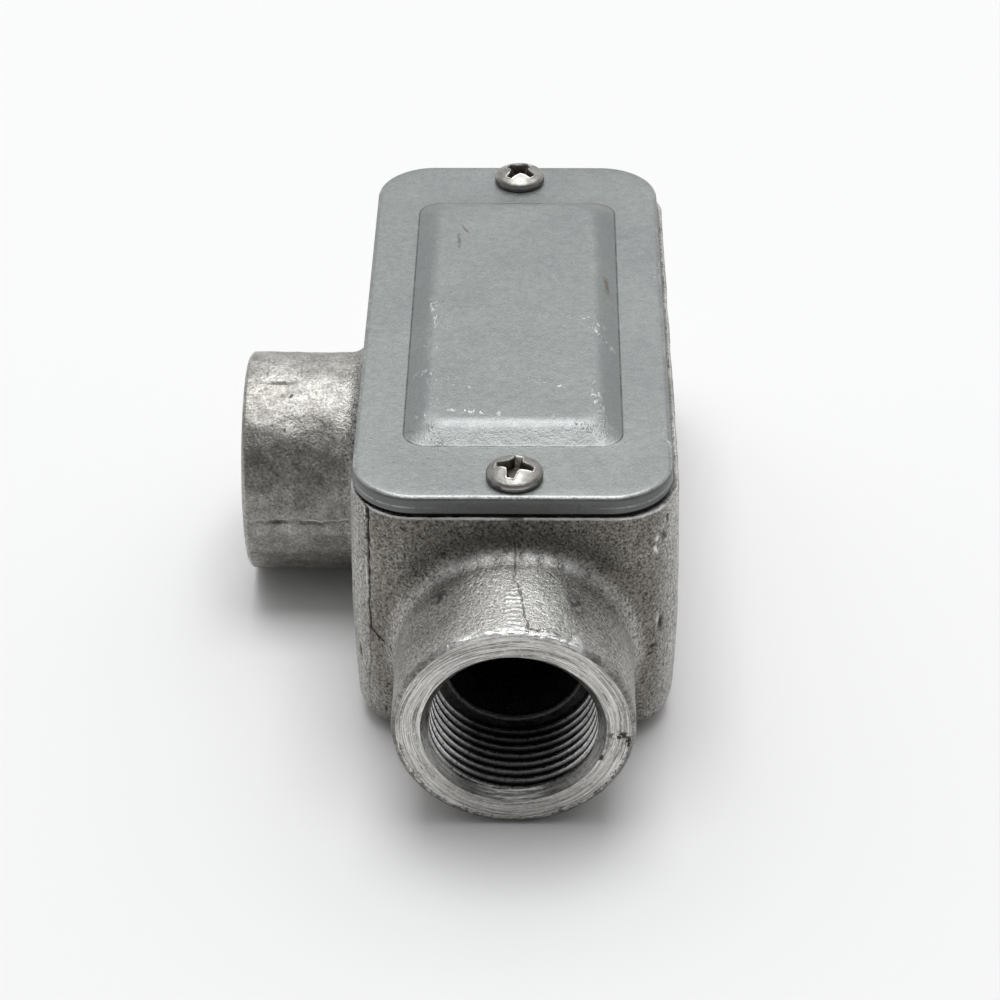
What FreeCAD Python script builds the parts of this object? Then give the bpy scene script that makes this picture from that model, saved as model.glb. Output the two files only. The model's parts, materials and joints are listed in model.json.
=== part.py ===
import FreeCAD, Part
import os

from FreeCAD import Vector

os.makedirs("parts", exist_ok=True)

# A 3/4 inch conduit body with one threaded hub on its end and one on its side, closed by a raised
# cover on a gasket and held by two pan-head screws.  Millimetres, +Z up out of the cover.  The origin
# is the centre of the casting's flat back, the end hub points along -Y and the side hub along -X.

# Casting
BODY_LENGTH = 101.3  # along Y, at the rim
BODY_SHOULDER = 6.65  # along X, hub's widest line to the rim's side
BODY_CORNER_RADIUS = 9.8  # upright corners, at the rim
BODY_BELLY = 0.45  # how far each wall stands out at the parting line, past the rim
BODY_BACK_DRAW = 0.35  # how far each wall draws in at the back, from the rim
BACK_EDGE_RADIUS = 4.2
WALL = 3.2
FLOOR = 3.2
CAVITY_DRAW = 0.4  # how far each cavity wall leans in from rim to floor
CAVITY_FLOOR_BEVEL = 1.8
RIM_EDGE_BREAK = 0.35

# Hubs: the thread's root, then the wall outside it and the bushing inside it
THREAD_ROOT_RADIUS = 13.15
THREAD_DEPTH = 15.2  # face to bushing shoulder
MOUTH_FLARE = 0.55
MOUTH_DEPTH = 0.8
BUSHING_HEIGHT = 3.1  # the shoulder's height, from thread root to throat
THROAT_EDGE_BREAK = 0.8
HUB_WALL = 4.8  # outside the thread's root
HUB_EDGE_BREAK = 0.65
HUB_WEB = 2.1  # sloping web that fills the corner between hub and wall
HUB_OVER_BACK = 0.35  # hub's lowest line to the back plane
HUB_UNDER_RIM = 6.35  # hub's highest line to the rim
END_HUB_REACH = 19.35  # rim's end to hub face
SIDE_HUB_REACH = 19.7  # rim's side to hub face
SIDE_HUB_PLACE = -0.2  # along Y

# Gasket
GASKET_THICKNESS = 0.65
GASKET_SETBACK = 0.7  # behind the cover's edge
GASKET_BAND = 2.9

# Cover
COVER_END_MARGIN = 0.15  # rim's edge to cover's edge
COVER_SIDE_MARGIN = 0.6
COVER_THICKNESS = 2.9
COVER_EDGE_RADIUS = 0.85
COVER_SHIFT = -0.35  # along X, taken up in the screw holes' clearance
PANEL_END_MARGIN = 13.4  # cover's edge to the raised panel's foot
PANEL_SIDE_MARGIN = 7.4
PANEL_CORNER_RADIUS = 3.6
PANEL_RISE = 2.2
PANEL_END_SLOPE = 3.8  # run of the slope at the two ends
PANEL_SIDE_SLOPE = 3.2  # run of the slope along the two sides
PANEL_SHOULDER_BEVEL = 0.8
PANEL_SKIN = 2.3

# Cover screws
SCREW_INSET = 5.45  # rim's end to screw axis
SCREW_RADIUS = 2.08
SCREW_LENGTH = 9.5  # under the head
SCREW_TIP_BREAK = 0.6
HEAD_OVERHANG = 2.17  # head's edge past the shank
HEAD_SIDE = 1.2  # upright rim of the head
HEAD_CROWN = 1.3  # dome over the upright rim
RECESS_SPAN = 5.4
RECESS_WING = 1.25
RECESS_DEPTH = 1.7
RECESS_FLOOR_SPAN = 2.6
RECESS_FLOOR_WING = 0.8
SCREW_TURNS = (-13.0, -40.0)  # degrees about +Z, end-hub screw first
THREAD_CLEARANCE = 0.06  # screw to tapped hole, radial
HOLE_CLEARANCE = 0.5  # screw to cover hole, radial
GASKET_HOLE_CLEARANCE = 0.9
TAP_SPARE = 2.85  # tapped hole past the screw's tip
BOSS_WALL = 2.56
BOSS_FLOOR = 1.8  # boss past the tapped hole
BOSS_TAPER = 3.0

HUB_RADIUS = THREAD_ROOT_RADIUS + HUB_WALL
HUB_AXIS_HEIGHT = HUB_RADIUS + HUB_OVER_BACK
BODY_WIDTH = 2 * (HUB_RADIUS + BODY_SHOULDER)
BODY_HEIGHT = HUB_AXIS_HEIGHT + HUB_RADIUS + HUB_UNDER_RIM
THROAT_RADIUS = THREAD_ROOT_RADIUS - BUSHING_HEIGHT
COVER_LENGTH = BODY_LENGTH - 2 * COVER_END_MARGIN
COVER_WIDTH = BODY_WIDTH - 2 * COVER_SIDE_MARGIN
COVER_CORNER_RADIUS = BODY_CORNER_RADIUS - COVER_END_MARGIN
COVER_SEAT = BODY_HEIGHT + GASKET_THICKNESS
COVER_TOP = COVER_SEAT + COVER_THICKNESS
PANEL_LENGTH = COVER_LENGTH - 2 * PANEL_END_MARGIN
PANEL_WIDTH = COVER_WIDTH - 2 * PANEL_SIDE_MARGIN
TAP_RADIUS = SCREW_RADIUS + THREAD_CLEARANCE
TAP_DEPTH = SCREW_LENGTH - COVER_THICKNESS - GASKET_THICKNESS + TAP_SPARE
BOSS_RADIUS = TAP_RADIUS + BOSS_WALL
BOSS_DEPTH = TAP_DEPTH + BOSS_FLOOR
HEAD_RADIUS = SCREW_RADIUS + HEAD_OVERHANG
HEAD_HEIGHT = HEAD_SIDE + HEAD_CROWN
SCREW_REACH = BODY_LENGTH / 2 - SCREW_INSET
SCREW_PLACES = (-SCREW_REACH, SCREW_REACH)
UP = Vector(0, 0, 1)


def rounded_rectangle(width, length, radius, z, x=0.0):
    """Closed wire of four sides and four quarter arcs, centred on (x, 0)."""
    half_x, half_y = width / 2 - radius, length / 2 - radius
    centres = ((half_x, half_y), (-half_x, half_y), (-half_x, -half_y), (half_x, -half_y))
    arcs = []
    for turn, (cx, cy) in enumerate(centres):
        centre = Vector(x + cx, cy, z)
        arcs.append(Part.makeCircle(radius, centre, UP, 90 * turn, 90 * turn + 90))
    edges = []
    for arc, following in zip(arcs, arcs[1:] + arcs[:1]):
        start, end = arc.Vertexes[1].Point, following.Vertexes[0].Point
        edges += [arc, Part.makeLine(start, end)]
    return Part.Wire(edges)


def rounded_plate(width, length, radius, z, thickness, x=0.0):
    return Part.Face(rounded_rectangle(width, length, radius, z, x)).extrude(UP * thickness)


def edges_where(shape, test):
    """Edges of which every sampled point passes the test."""
    return [edge for edge in shape.Edges if all(test(point) for point in edge.discretize(9))]


def turned(points, about, along):
    """Solid of revolution from (distance along the axis, radius) points, about an axis."""
    profile = Part.makePolygon([Vector(radius, 0, reach) for reach, radius in points + points[:1]])
    solid = Part.Face(profile).revolve(Vector(), UP, 360)
    solid.Placement = FreeCAD.Placement(about, FreeCAD.Rotation(UP, along))
    return solid


def hub_frames():
    """Each hub's point on the body's centre line, outward direction and distance to its face."""
    end_face = BODY_LENGTH / 2 + END_HUB_REACH
    side_face = BODY_WIDTH / 2 + SIDE_HUB_REACH
    end = (Vector(0, 0, HUB_AXIS_HEIGHT), Vector(0, -1, 0), end_face)
    side = (Vector(0, SIDE_HUB_PLACE, HUB_AXIS_HEIGHT), Vector(-1, 0, 0), side_face)
    return end, side


def casting_block():
    """The box, drafted both ways from the parting line at the hub axes, with its back edge rounded."""
    sections = []
    heights = ((0, -BODY_BACK_DRAW), (HUB_AXIS_HEIGHT, BODY_BELLY), (BODY_HEIGHT, 0))
    for z, out in heights:
        width, length = BODY_WIDTH + 2 * out, BODY_LENGTH + 2 * out
        sections.append(rounded_rectangle(width, length, BODY_CORNER_RADIUS + out, z))
    block = Part.makeLoft(sections, True, True)
    back = edges_where(block, lambda p: abs(p.z) < 1e-4)
    return block.makeFillet(BACK_EDGE_RADIUS, back)


def hub_outside(frame):
    origin, along, face = frame
    points = [
        (0, 0),
        (0, HUB_RADIUS),
        (face - HUB_EDGE_BREAK, HUB_RADIUS),
        (face, HUB_RADIUS - HUB_EDGE_BREAK),
        (face, 0),
    ]
    return turned(points, origin, along)


def with_hub(casting, frame):
    """The casting with one hub fused on and the corner where they meet filled."""
    origin, along, face = frame
    casting = casting.fuse(hub_outside(frame))

    def on_joint(point):
        reach = (point - origin).dot(along)
        radius = (point - origin - along * reach).Length
        return abs(radius - HUB_RADIUS) < 0.01 and reach < face - THREAD_DEPTH

    joint = [edge for edge in edges_where(casting, on_joint) if edge.Curve.TypeId != "Part::GeomLine"]
    return casting.makeChamfer(HUB_WEB, joint)


def hub_bore(frame):
    """Threaded bore with its flared mouth, and the throat of the bushing, as one solid to cut."""
    origin, along, face = frame
    shoulder = face - THREAD_DEPTH
    points = [
        (0, 0),
        (0, THROAT_RADIUS),
        (shoulder - THROAT_EDGE_BREAK, THROAT_RADIUS),
        (shoulder, THROAT_RADIUS + THROAT_EDGE_BREAK),
        (shoulder, THREAD_ROOT_RADIUS),
        (face - MOUTH_DEPTH, THREAD_ROOT_RADIUS),
        (face, THREAD_ROOT_RADIUS + MOUTH_FLARE),
        (face, 0),
    ]
    return turned(points, origin, along)


def screw_boss(y):
    """Round boss inside an end wall, tapered below so that the wires pass the throat freely."""
    straight = BODY_HEIGHT - BOSS_DEPTH
    boss = Part.makeCylinder(BOSS_RADIUS, BOSS_DEPTH, Vector(0, y, straight))
    foot = Vector(0, y, straight - BOSS_TAPER)
    return boss.fuse(Part.makeCone(BOSS_RADIUS - BOSS_TAPER, BOSS_RADIUS, BOSS_TAPER, foot))


def cavity():
    """The wiring space, drawn in towards its floor, less the two screw bosses."""
    width, length = BODY_WIDTH - 2 * WALL, BODY_LENGTH - 2 * WALL
    radius = BODY_CORNER_RADIUS - WALL
    low = rounded_rectangle(width - 2 * CAVITY_DRAW, length - 2 * CAVITY_DRAW, radius - CAVITY_DRAW, FLOOR)
    high = rounded_rectangle(width, length, radius, BODY_HEIGHT)
    space = Part.makeLoft([low, high], True, True)
    floor = edges_where(space, lambda p: abs(p.z - FLOOR) < 1e-4)
    space = space.makeChamfer(CAVITY_FLOOR_BEVEL, floor)
    for y in SCREW_PLACES:
        space = space.cut(screw_boss(y))
    return space


def tapped_hole(y):
    """Blind cored hole, open at the rim."""
    return Part.makeCylinder(TAP_RADIUS, TAP_DEPTH, Vector(0, y, BODY_HEIGHT - TAP_DEPTH))


def make_body():
    body = casting_block()
    rim = edges_where(body, lambda p: abs(p.z - BODY_HEIGHT) < 1e-4)
    body = body.makeChamfer(RIM_EDGE_BREAK, rim)
    for frame in hub_frames():
        body = with_hub(body, frame)
    body = body.cut(cavity())
    for frame in hub_frames():
        body = body.cut(hub_bore(frame))
    for y in SCREW_PLACES:
        body = body.cut(tapped_hole(y))
    return body


def make_gasket():
    """Flat ring that follows the rim, with an ear round each screw."""
    width, length = COVER_WIDTH - 2 * GASKET_SETBACK, COVER_LENGTH - 2 * GASKET_SETBACK
    radius = COVER_CORNER_RADIUS - GASKET_SETBACK
    outline = rounded_plate(width, length, radius, BODY_HEIGHT, GASKET_THICKNESS)
    band = 2 * GASKET_BAND
    window = rounded_plate(width - band, length - band, radius - GASKET_BAND, BODY_HEIGHT, GASKET_THICKNESS)
    for y in SCREW_PLACES:
        ear = Part.makeCylinder(BOSS_RADIUS, GASKET_THICKNESS, Vector(0, y, BODY_HEIGHT))
        window = window.cut(ear)
    gasket = outline.cut(window)
    for y in SCREW_PLACES:
        gasket = gasket.cut(round_hole(y, GASKET_HOLE_CLEARANCE, BODY_HEIGHT, GASKET_THICKNESS))
    return gasket


def round_hole(y, clearance, z, depth):
    return Part.makeCylinder(SCREW_RADIUS + clearance, depth, Vector(0, y, z))


def raised_panel(inset, low, rise):
    """Flat-topped hump with sloping sides from a height up, inset all round by the given amount."""
    foot_width, foot_length = PANEL_WIDTH - 2 * inset, PANEL_LENGTH - 2 * inset
    foot = rounded_rectangle(foot_width, foot_length, PANEL_CORNER_RADIUS, low, COVER_SHIFT)
    head_width, head_length = foot_width - 2 * PANEL_SIDE_SLOPE, foot_length - 2 * PANEL_END_SLOPE
    head = rounded_rectangle(head_width, head_length, PANEL_CORNER_RADIUS, low + rise, COVER_SHIFT)
    return Part.makeLoft([foot, head], True, True)


def make_cover():
    """Flat plate with a rounded top edge and a soft-shouldered panel, hollow and open underneath."""
    plate = rounded_plate(
        COVER_WIDTH, COVER_LENGTH, COVER_CORNER_RADIUS, COVER_SEAT, COVER_THICKNESS, COVER_SHIFT
    )
    top_edge = edges_where(plate, lambda p: abs(p.z - COVER_TOP) < 1e-4)
    plate = plate.makeFillet(COVER_EDGE_RADIUS, top_edge)
    panel = raised_panel(0, COVER_TOP, PANEL_RISE)
    shoulder = edges_where(panel, lambda p: abs(p.z - COVER_TOP - PANEL_RISE) < 1e-4)
    cover = plate.fuse(panel.makeChamfer(PANEL_SHOULDER_BEVEL, shoulder))
    hollow_rise = COVER_THICKNESS + PANEL_RISE - PANEL_SKIN
    cover = cover.cut(raised_panel(PANEL_SKIN / 2, COVER_SEAT, hollow_rise))
    for y in SCREW_PLACES:
        cover = cover.cut(round_hole(y, HOLE_CLEARANCE, COVER_SEAT, COVER_THICKNESS))
    return cover


def cross_recess(turn):
    """Two tapered slots at right angles, deepest at the middle, below the crown of the head."""
    floor = slot_outline(RECESS_FLOOR_SPAN, RECESS_FLOOR_WING, HEAD_HEIGHT - RECESS_DEPTH)
    mouth = slot_outline(RECESS_SPAN, RECESS_WING, HEAD_HEIGHT)
    slots = []
    for angle in (turn, turn + 90):
        slot = Part.makeLoft([floor, mouth], True, True)
        slot.rotate(Vector(), UP, angle)
        slots.append(slot)
    return slots[0].fuse(slots[1])


def slot_outline(span, wing, z):
    x, y = span / 2, wing / 2
    return Part.makePolygon([Vector(*c, z) for c in ((x, y), (-x, y), (-x, -y), (x, -y), (x, y))])


def domed_head():
    """Upright rim with a shallow spherical crown over it."""
    crown_radius = (HEAD_RADIUS**2 + HEAD_CROWN**2) / (2 * HEAD_CROWN)
    crown = Part.makeSphere(crown_radius, Vector(0, 0, HEAD_HEIGHT - crown_radius))
    return Part.makeCylinder(HEAD_RADIUS, HEAD_HEIGHT).common(crown)


def cover_screw(y, turn):
    """Pan-head screw with a cross recess, standing on the cover."""
    shank = [
        (-SCREW_LENGTH, 0),
        (-SCREW_LENGTH, SCREW_RADIUS - SCREW_TIP_BREAK),
        (SCREW_TIP_BREAK - SCREW_LENGTH, SCREW_RADIUS),
        (0, SCREW_RADIUS),
        (0, 0),
    ]
    screw = domed_head().fuse(turned(shank, Vector(), UP)).cut(cross_recess(turn))
    screw.translate(Vector(0, y, COVER_TOP))
    return screw


def make_cover_screws():
    return Part.makeCompound([cover_screw(y, turn) for y, turn in zip(SCREW_PLACES, SCREW_TURNS)])


for node, shape in (
    ("body", make_body()),
    ("gasket", make_gasket()),
    ("cover", make_cover()),
    ("cover_screws", make_cover_screws()),
):
    shape.exportStep(f"parts/{node}.step")
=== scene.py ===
import json
import math
from functools import partialmethod, reduce
from itertools import product

import bmesh
import bpy
import numpy as np
from mathutils import Matrix, Vector


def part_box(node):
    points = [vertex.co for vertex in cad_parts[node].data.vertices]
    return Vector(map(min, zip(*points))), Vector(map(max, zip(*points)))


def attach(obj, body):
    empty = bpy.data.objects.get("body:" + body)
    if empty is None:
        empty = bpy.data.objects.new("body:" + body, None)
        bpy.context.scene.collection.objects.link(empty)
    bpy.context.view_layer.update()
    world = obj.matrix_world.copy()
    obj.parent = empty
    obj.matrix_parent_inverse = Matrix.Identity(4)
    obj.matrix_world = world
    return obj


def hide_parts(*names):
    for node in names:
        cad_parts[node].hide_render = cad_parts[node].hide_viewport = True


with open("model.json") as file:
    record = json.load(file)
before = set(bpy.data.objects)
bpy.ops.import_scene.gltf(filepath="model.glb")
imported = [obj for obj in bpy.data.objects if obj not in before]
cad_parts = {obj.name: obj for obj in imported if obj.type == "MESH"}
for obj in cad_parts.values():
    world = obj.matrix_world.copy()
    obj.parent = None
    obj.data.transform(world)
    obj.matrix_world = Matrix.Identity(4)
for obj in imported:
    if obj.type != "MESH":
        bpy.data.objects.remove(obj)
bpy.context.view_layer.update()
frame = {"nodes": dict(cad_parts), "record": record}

# Sizes are in millimetres, as in the part's source, and meshes are scaled to metres when they are made.
MM = 0.001


def node_box(node):
    return [np.array(corner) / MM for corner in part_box(node)]


def mount(name):
    return next(m for m in frame["record"]["mounts"] if m["name"] == name)


# Read from the frame
BODY_LOW, BODY_HIGH = node_box("body")
COVER_LOW, COVER_HIGH = node_box("cover")
SCREWS_LOW, SCREWS_HIGH = node_box("cover_screws")
END_HUB, SIDE_HUB = mount("end_hub_thread"), mount("side_hub_thread")
THREAD_ROOT = END_HUB["dims"]["r_mm"]
THREAD_LENGTH = END_HUB["dims"]["length_mm"]
AXIS_HEIGHT = END_HUB["pos_m"][2] / MM
SIDE_HUB_Y = SIDE_HUB["pos_m"][1] / MM
RIM_HEIGHT = BODY_HIGH[2]
END_FACE, SIDE_FACE = -BODY_LOW[1], -BODY_LOW[0]

# Casting
BELLY = 0.45
BACK_DRAW = 0.35
CORNER = 9.8
BACK_EDGE = 4.2
RIM_BREAK = 0.2
HUB_WALL = 4.8
HUB_BREAK = 0.65
HUB_BLEND = 2.8
MOUTH_FLARE = 0.55
MOUTH_ZONE = 1.5
MOUTH_DEPTH = 0.8
BUSHING_HEIGHT = 3.1
THROAT_EDGE = 0.8
THREAD_PITCH = 25.4 / 14
CREST_AT_MOUTH = 12.5
CREST_AT_SHOULDER = 12.1
# One turn of the thread: (share of the pitch, share of the ridge's height)
THREAD_PROFILE = (
    (0.0, 0), (0.12, 0.05), (0.2, 0.3), (0.36, 0.9), (0.48, 1), (0.62, 0.97), (0.84, 0.3), (0.92, 0.05),
)
# How far from the part's origin each hub's own skin starts, and over what length
SIDE_HUB_START = 26
END_HUB_START = 52
HUB_START_BLEND = 3
NET_STEP = 1.26
NET_MARGIN = np.array(((2.0, 2.0, 1.7), (2.0, 2.0, 1.5)))
THREAD_COLUMNS, SIDE_THREAD_COLUMNS = 132, 72
HUB_EDGE_COLUMNS = 600

RIM_HALF = BODY_HIGH[:2] - BELLY
HUB_RADIUS = THREAD_ROOT + HUB_WALL
SHOULDER = THREAD_LENGTH + MOUTH_DEPTH

# Old dark nicks on the end hub's face: (place, half size)
FACE_NICKS = (
    ((15.6, -70.0, 17.4), (2.2, 1.0, 0.9)),
    ((16.8, -70.0, 16.2), (0.7, 1.0, 1.4)),
    ((12.7, -70.0, 13.3), (0.8, 1.0, 0.9)),
)

# Cover
COVER_SEAT = COVER_LOW[2]
COVER_HALF = (COVER_HIGH[:2] - COVER_LOW[:2]) / 2
COVER_X = (COVER_HIGH[0] + COVER_LOW[0]) / 2
COVER_CORNER = 9.65
COVER_THICKNESS = 2.9
COVER_EDGE = 0.85
COVER_TOP = COVER_SEAT + COVER_THICKNESS
PANEL_MARGIN = np.array((7.4, 13.4))
PANEL_SLOPE = np.array((3.2, 3.8))
PANEL_RISE = COVER_HIGH[2] - COVER_TOP
PANEL_CORNER = 3.6
PANEL_SKIN = 2.3
NEAR_SLOPE_Y = -33.5
FOOT_LINE = 0.22
EDGE_WEAR = 0.7
SCREW_HOLE = 2.58
# Bare scuffs on the cover: (from, to, reach to either side), seen from above
COVER_SCRATCHES = (
    ((-13.3, -0.2), (-12.8, -3.6), 0.9),
    ((-13.2, -12.2), (-12.2, -13.2), 0.6),
    ((-9.1, -14.8), (-8.6, -15.2), 0.5),
    ((11.6, -4.2), (12.4, -4.8), 0.6),
    ((12.6, -7.6), (13.8, -9.6), 0.8),
    ((-12.6, -20.6), (-9.6, -22.6), 1.0),
    ((-12.8, -23.6), (-12.3, -28.2), 0.9),
    ((12.2, -25.4), (12.9, -31.2), 1.0),
    ((8.6, -33.2), (11.8, -34.4), 0.9),
    ((-13.3, -33.2), (-12.4, -35.0), 0.9),
    ((-9.0, -30.2), (-4.0, -31.0), 0.7),
    ((2.2, -21.5), (2.9, -22.0), 0.5),
    ((6.3, -23.2), (7.0, -23.6), 0.5),
    ((22.4, 13.4), (22.5, 11.4), 0.5),
    ((22.8, -33.5), (23.2, -35.8), 0.5),
)
# Stains on the cover: (from, to, reach to either side, colour)
COVER_STAINS = (
    ((14.4, 8.4), (14.5, 6.9), 0.55, (0.14, 0.1, 0.06)),
    ((-13.0, 35.2), (-12.6, 34.4), 0.7, (0.4, 0.33, 0.24)),
    ((11.4, 35.4), (12.0, 34.8), 0.7, (0.4, 0.33, 0.24)),
    ((-9.9, 21.8), (-9.8, 19.4), 0.4, (0.13, 0.11, 0.09)),
    ((-9.2, 25.0), (-8.8, 24.2), 0.35, (0.13, 0.11, 0.09)),
)

# Cover screws
HEAD_RADIUS = SCREWS_HIGH[0]
HEAD_HEIGHT = SCREWS_HIGH[2] - COVER_TOP
HEAD_SIDE = 1.2
SHANK_RADIUS = 2.08
SCREW_Y = SCREWS_HIGH[1] - HEAD_RADIUS
SCREW_TURNS = {-SCREW_Y: -13.0, SCREW_Y: -40.0}
RECESS_DEPTH = 1.7

# Studio light
STUDIO_FRONT = 0.09
STUDIO_SIDES = 0.26
STUDIO_HORIZON = 0.42
STUDIO_BACK_LOW = 0.3
STUDIO_BACK_HIGH = 1.7
STUDIO_TOP = 0.8
KEY_PLACE = (0.0, 0.4, 1.95)
KEY_SIZE = (1.2, 1.1)
KEY_WATTS = 20.0
FLOOR_WHITE = 0.865

# Camera, found from the photo: lens in millimetres, turns in degrees
LENS = 101.26
CAMERA_PLACE = (3.95, -386.5, 283.7)
CAMERA_PITCH, CAMERA_YAW, CAMERA_ROLL = 35.293, -1.029, -0.39

RNG = np.random.default_rng(7)
LATTICE = RNG.random((32, 32, 32))


# ---------------- fields


def unit(x):
    """Held between 0 and 1."""
    return np.clip(x, 0, 1)


def noise(points, size, seed=0):
    """Smooth noise from -1 to 1, with features of about the given size in millimetres."""
    q = points / size + np.array((11.3, 5.7, 2.9)) * (seed + 1)
    cell = np.floor(q).astype(int)
    t = q - cell
    t = t * t * (3 - 2 * t)
    total = np.zeros(len(points))
    for corner in np.ndindex(2, 2, 2):
        weight = np.prod(np.where(corner, t, 1 - t), axis=1)
        i, j, k = ((cell + corner) % 32).T
        total += weight * LATTICE[i, j, k]
    return 2 * total - 1


def belly(z):
    """How far the walls stand out past the rim's outline at a height."""
    above = BELLY * (1 - ((z - AXIS_HEIGHT) / (RIM_HEIGHT - AXIS_HEIGHT)) ** 2)
    below = BELLY - (BELLY + BACK_DRAW) * ((AXIS_HEIGHT - z) / AXIS_HEIGHT) ** 2
    return np.where(z > AXIS_HEIGHT, above, below)


def round_meet(a, b, radius):
    """Where both distances must be inside, with a rounded edge between them."""
    a, b = a + radius, b + radius
    return np.minimum(np.maximum(a, b), 0) + np.hypot(np.maximum(a, 0), np.maximum(b, 0)) - radius


def round_join(a, b, radius):
    """Where either distance is inside, with a filled corner between them."""
    a_left, b_left = np.maximum(radius - a, 0), np.maximum(radius - b, 0)
    return np.maximum(radius, np.minimum(a, b)) - np.hypot(a_left, b_left)


def hub_coordinates(p, side):
    """Reach along a hub's axis, radius from it, and the angle round it, from straight up."""
    across = p[:, 1] - SIDE_HUB_Y if side else p[:, 0]
    up = p[:, 2] - AXIS_HEIGHT
    reach = -p[:, 0] if side else -p[:, 1]
    return reach, np.hypot(across, up), np.arctan2(across, up)


def skin_distance(p):
    """Distance from the casting's outer skin, with the hubs running on past their faces."""
    q = np.abs(p[:, :2]) - (RIM_HALF - CORNER)
    wall = np.linalg.norm(np.maximum(q, 0), axis=1) + np.minimum(q.max(axis=1), 0)
    solid = round_meet(wall - CORNER - belly(p[:, 2]), -p[:, 2], BACK_EDGE)
    for side in (False, True):
        reach, radius, _ = hub_coordinates(p, side)
        solid = round_join(solid, np.maximum(radius - HUB_RADIUS, -reach), HUB_BLEND)
    return np.maximum(solid, -p[:, 2])


def gradient(distance, p, reach=0.05):
    steps = np.eye(3) * reach
    slope = np.stack([distance(p + s) - distance(p - s) for s in steps], axis=1)
    return slope / np.maximum(np.linalg.norm(slope, axis=1), 1e-9)[:, None]


# ---------------- casting marks
# Each mark gives its height over the true form, how dark it is and how bright, at points: worn metal, with a
# painted highlight on the end hub's top.

HUB_STARTS = ((True, SIDE_HUB_START), (False, END_HUB_START))
FLASH_X = -21.9
GATE_START = 58.2
# (place, reach, (height, darkness, bareness)): three pits, one's bright lip, and two nicks
SPOTS = (
    ((22.2, -47.9, 21.4), (0.45, 0.9, 1.3), (-0.35, 1.3, 0)),
    ((21.0, -48.9, 17.6), (0.9, 0.8, 0.25), (-0.315, 1.17, 0)),
    ((20.6, -49.0, 16.3), (0.8, 0.8, 0.2), (-0.28, 1.04, 0)),
    ((21.7, -48.3, 22.2), (0.3, 0.6, 0.9), (0, 0, 0.8)),
    ((22.3, -47.2, 37.5), (0.35, 0.9, 0.9), (-0.25, 1, 0)),
    ((-10.5, -51.1, 36.0), (0.5, 0.8, 0.5), (-0.25, 1, 0)),
)
SCUFFS = (((-11.9, -56.5, 32.4), (1.6, 1.3, 1.3)), ((9.3, -59.9, 34.3), (1.5, 2.3, 1.3)))
CHIP = ((9.3, -69.3, 33.9), (0.6, 1.2, 0.6))

# Where the skin's mesh is finer: the sides in view, then the gate mark, hub edge, seam, corner flash,
# pits, scuffs and side-hub marks
SEEN_BOXES = (
    ((-27.0, -72.0, -1.0), (27.0, -40.0, 46.0)),
    ((-46.0, -20.0, 16.0), (-22.0, 20.0, 40.0)),
)
FINE_BOXES = (
    ((-3.4, -70.5, 33.0), (6.2, -56.2, 38.0)),
    ((-16.0, -70.5, 26.0), (16.0, -67.6, 38.0)),
    ((-1.0, -57.5, 34.0), (1.2, -48.0, 43.0)),
    ((-24.6, -49.8, 7.0), (-18.0, -45.5, 42.6)),
    ((18.5, -51.0, 12.0), (23.8, -46.0, 25.0)),
    ((18.5, -51.0, 33.5), (23.8, -46.0, 39.5)),
    ((-14.0, -58.5, 29.5), (-9.5, -54.5, 33.8)),
    ((7.3, -62.2, 32.0), (10.4, -57.2, 36.0)),
    ((-42.5, -5.2, 35.0), (-33.8, 3.8, 38.5)),
    ((-44.5, -19.0, 16.6), (-27.0, -15.5, 21.4)),
)


def bump(x, width):
    """A smooth hill of height 1 and the given half-width."""
    return np.exp(-((x / width) ** 2))


def near(p, place, size):
    return bump(np.linalg.norm((p - np.array(place)) / np.array(size), axis=1), 1)


def hub_shares(p):
    """How far each point is out on the side hub and on the end hub: 0 on the walls and 1 on the hub."""
    return [unit((hub_coordinates(p, side)[0] - start) / HUB_START_BLEND) for side, start in HUB_STARTS]


def cast_lumps(p):
    """The uneven skin itself, coarser on the side hub."""
    on_side, on_end = hub_shares(p)
    skin = 0.07 * noise(p, 7.0, 20) + 0.035 * noise(p, 2.4, 21) + 0.022 * noise(p, 1.3, 22)
    lumps = on_side * (0.12 * noise(p, 3.1, 23) + 0.07 * noise(p, 1.7, 24) + 0.1 * noise(p, 9.0, 25))
    drawn = on_end * 0.03 * noise(p * (1, 0.35, 1), 1.5, 26)
    return skin + lumps + drawn, unit(-0.9 * lumps), unit(0.9 * lumps)


def corner_flash(p):
    """The ragged line that the side die leaves down the front left corner, with a crack branching off."""
    x, y, z = p.T
    level = p * (0, 0, 1)
    ragged = 0.16 * noise(level, 2.6, 3) + 0.12 * noise(level, 0.7, 4)
    line = x - FLASH_X + 0.6 * unit((19 - z) / 10) + ragged
    here = (y < -40) * (x < -17)
    upper = unit((z - 27) / 6)
    lip = here * bump(line + 0.3, 0.12) * unit(0.4 + 1.4 * noise(level, 1.2, 5)) * (0.3 + 0.7 * upper)
    gape = 0.09 + 0.16 * upper * unit(0.6 + 1.4 * noise(level, 1.5, 6))
    groove = bump(line - 0.03, gape) * (1 - 0.6 * unit((20 - z) / 0.5))
    branch_line = z - 20.3 + 0.62 * (x - FLASH_X) + 0.35 * noise(p, 1.4, 7)
    branch = bump(branch_line, 0.16) * (x > FLASH_X) * (x < -18.1)
    groove = here * np.maximum(groove, 0.8 * branch)
    return 0.2 * lip - 0.36 * groove, 1.4 * groove, 1.2 * lip * (groove < 0.3)


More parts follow.
